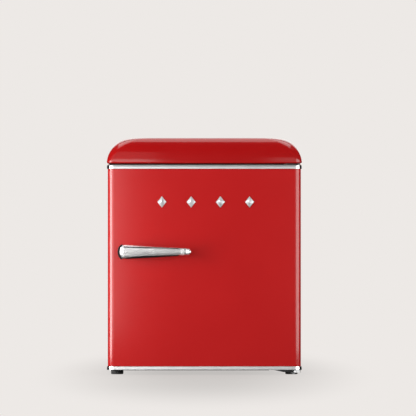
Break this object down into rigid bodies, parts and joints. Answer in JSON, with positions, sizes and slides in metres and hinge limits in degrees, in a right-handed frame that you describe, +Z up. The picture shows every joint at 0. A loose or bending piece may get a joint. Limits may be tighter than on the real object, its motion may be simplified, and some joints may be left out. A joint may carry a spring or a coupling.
{
  "type": "mini fridge",
  "caption": "Retro table-top mini fridge: domed red cover over a red door with chrome strips and a tapered chrome handle, insulated cabinet with an ice box, shelf and rear cooling circuit.",
  "frame": {"origin": "on the floor under the middle of the fridge's bounding box", "axes": "+Z up, +X to the right seen from the front, the door faces -Y"},
  "size_m": [0.453, 0.49, 0.55],
  "materials": {
    "red_enamel": "gloss enamel",
    "red_gloss_plastic": "moulded gloss",
    "chrome": "polished",
    "zinc_steel": "zinc plated",
    "black_steel": "satin black",
    "black_plastic": "satin moulded",
    "white_plastic": "satin moulded",
    "clear_plastic": "clear moulded plastic",
    "clear_glass": "clear toughened",
    "white_rubber": "matte",
    "grey_rubber": "matte",
    "foam": "rigid polyurethane foam",
    "white_foam": "expanded polystyrene",
    "aluminium": "satin",
    "copper": "drawn copper"
  },
  "bodies": {
    "cabinet": {"side_panel_left": "red_enamel", "side_panel_right": "red_enamel", "top_panel": "zinc_steel", "bottom_panel": "zinc_steel", "back_panel": "zinc_steel", "cabinet_foam": "foam", "cabinet_liner": "white_plastic", "base_plate": "zinc_steel", "top_cover": "red_gloss_plastic", "top_cover_foam": "white_foam", "top_cover_tray": "black_plastic", "upper_hinge_bracket": "black_steel", "upper_hinge_pin": "zinc_steel", "lower_hinge_bracket": "black_steel", "lower_hinge_pin": "zinc_steel", "lower_hinge_nut": "zinc_steel", "rear_foot_left": "grey_rubber", "rear_foot_right": "grey_rubber", "evaporator": "aluminium", "ice_box_frame": "white_plastic", "glass_shelf": "clear_glass", "shelf_trim": "white_plastic", "thermostat_housing": "white_plastic", "compressor": "black_steel", "compressor_mount": "black_steel", "compressor_grommet_1": "grey_rubber", "compressor_grommet_2": "grey_rubber", "compressor_grommet_3": "grey_rubber", "compressor_grommet_4": "grey_rubber", "terminal_cover": "black_plastic", "cord_gland": "black_plastic", "condenser_coil": "black_steel", "condenser_bracket_left": "black_steel", "condenser_bracket_right": "black_steel", "discharge_pipe": "copper", "suction_pipe": "copper", "filter_drier": "copper", "capillary_tube": "copper"},
    "door": {"door_skin": "red_enamel", "door_foam": "foam", "door_liner": "white_plastic", "door_gasket": "white_rubber", "door_end_cap_top": "black_plastic", "door_end_cap_bottom": "black_plastic", "trim_strip_top": "chrome", "trim_strip_bottom": "chrome", "door_bin_lower": "clear_plastic", "door_bin_upper": "clear_plastic", "handle_bar": "chrome", "handle_base_left": "black_plastic", "handle_base_right": "black_plastic", "ornament_1": "chrome", "ornament_2": "chrome", "ornament_3": "chrome", "ornament_4": "chrome"},
    "ice_flap": {"ice_flap": "white_plastic"},
    "drip_tray": {"drip_tray": "clear_plastic"},
    "thermostat_knob": {"thermostat_knob": "white_plastic"},
    "foot_left": {"foot_front_left": "grey_rubber"},
    "foot_right": {"foot_front_right": "grey_rubber"}
  },
  "joints": [
    {"name": "door_hinge", "type": "hinge", "parent": "cabinet", "child": "door", "pos_m": [0.206, -0.18, 0.25], "axis": [0, 0, 1], "range_deg": [0, 120]},
    {"name": "ice_flap_hinge", "type": "hinge", "parent": "cabinet", "child": "ice_flap", "pos_m": [0, -0.043, 0.431], "axis": [-1, 0, 0], "range_deg": [0, 85]},
    {"name": "drip_tray_slide", "type": "slide", "parent": "cabinet", "child": "drip_tray", "axis": [0, -1, 0], "range_m": [0, 0.08]},
    {"name": "thermostat_turn", "type": "hinge", "parent": "cabinet", "child": "thermostat_knob", "pos_m": [0.164, 0.04, 0.282], "axis": [-1, 0, 0], "range_deg": [0, 270]},
    {"name": "foot_left_screw", "type": "slide", "parent": "cabinet", "child": "foot_left", "axis": [0, 0, -1], "range_m": [0, 0.008]},
    {"name": "foot_right_screw", "type": "slide", "parent": "cabinet", "child": "foot_right", "axis": [0, 0, -1], "range_m": [0, 0.008]}
  ]
}
